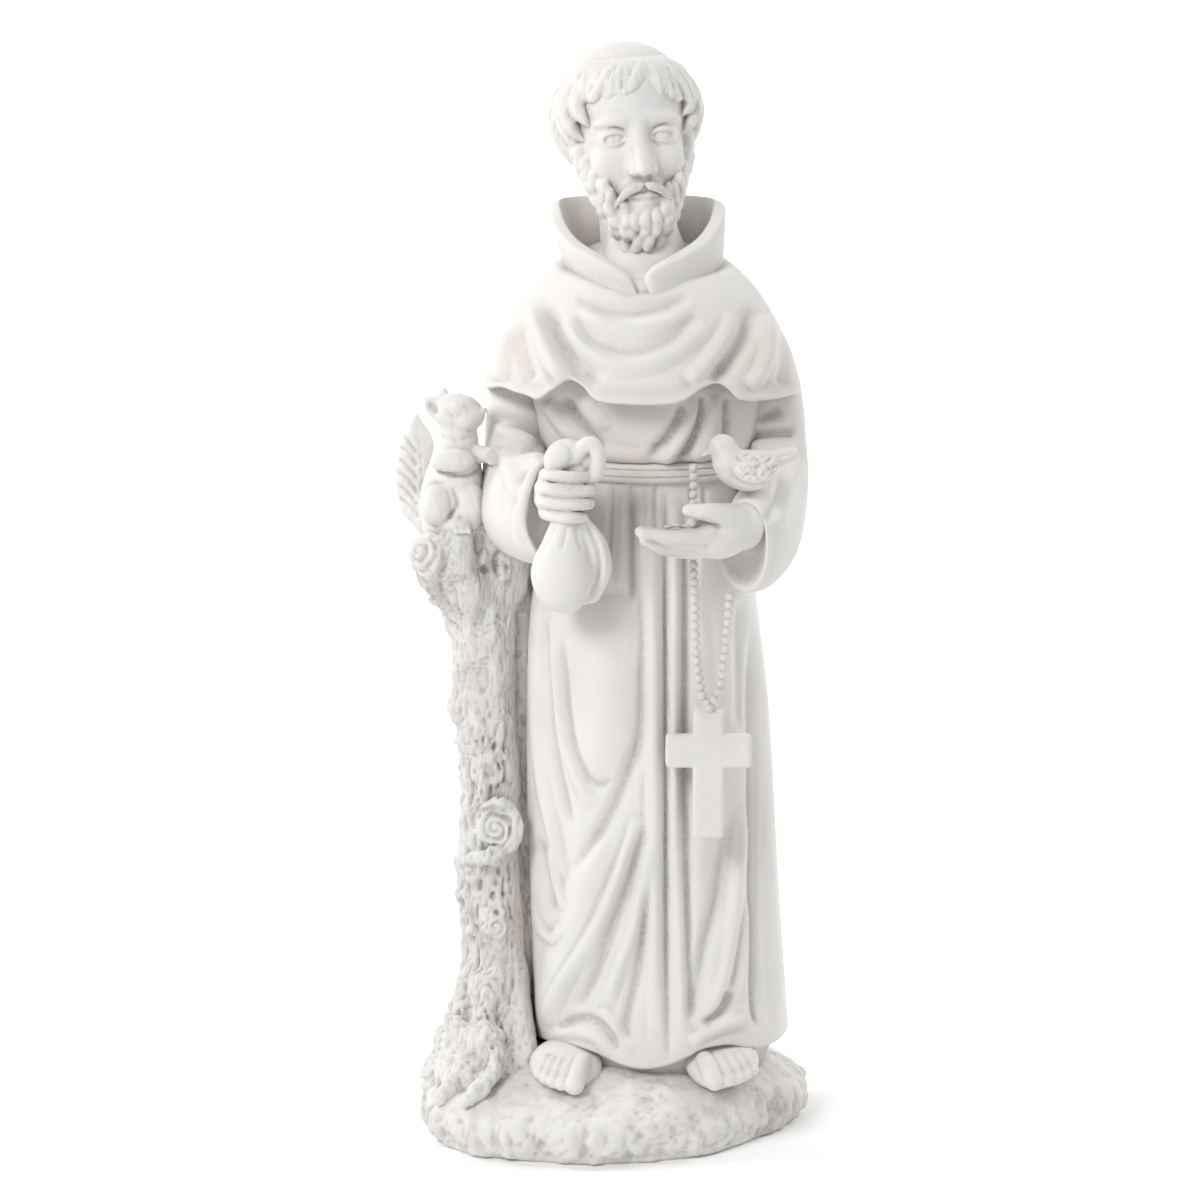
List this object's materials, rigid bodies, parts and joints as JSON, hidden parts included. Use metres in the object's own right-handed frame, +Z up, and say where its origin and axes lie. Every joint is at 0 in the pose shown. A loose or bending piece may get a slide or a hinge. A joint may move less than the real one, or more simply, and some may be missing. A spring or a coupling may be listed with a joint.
{
  "type": "saint francis garden statue",
  "caption": "Cast-stone standing friar saint with squirrel on a tree stump, dove, pouch and rosary, on a rocky ground.",
  "frame": {"origin": "middle of the flat underside", "axes": "+Z up through the figure, the figure's front looks along -Y"},
  "size_m": [0.3543, 0.2859, 0.9031],
  "materials": {
    "cast_stone": "matt off-white cast stone with grey dirt in its creases"
  },
  "bodies": {
    "root": {"saint_francis_statue": "cast_stone"}
  },
  "joints": []
}
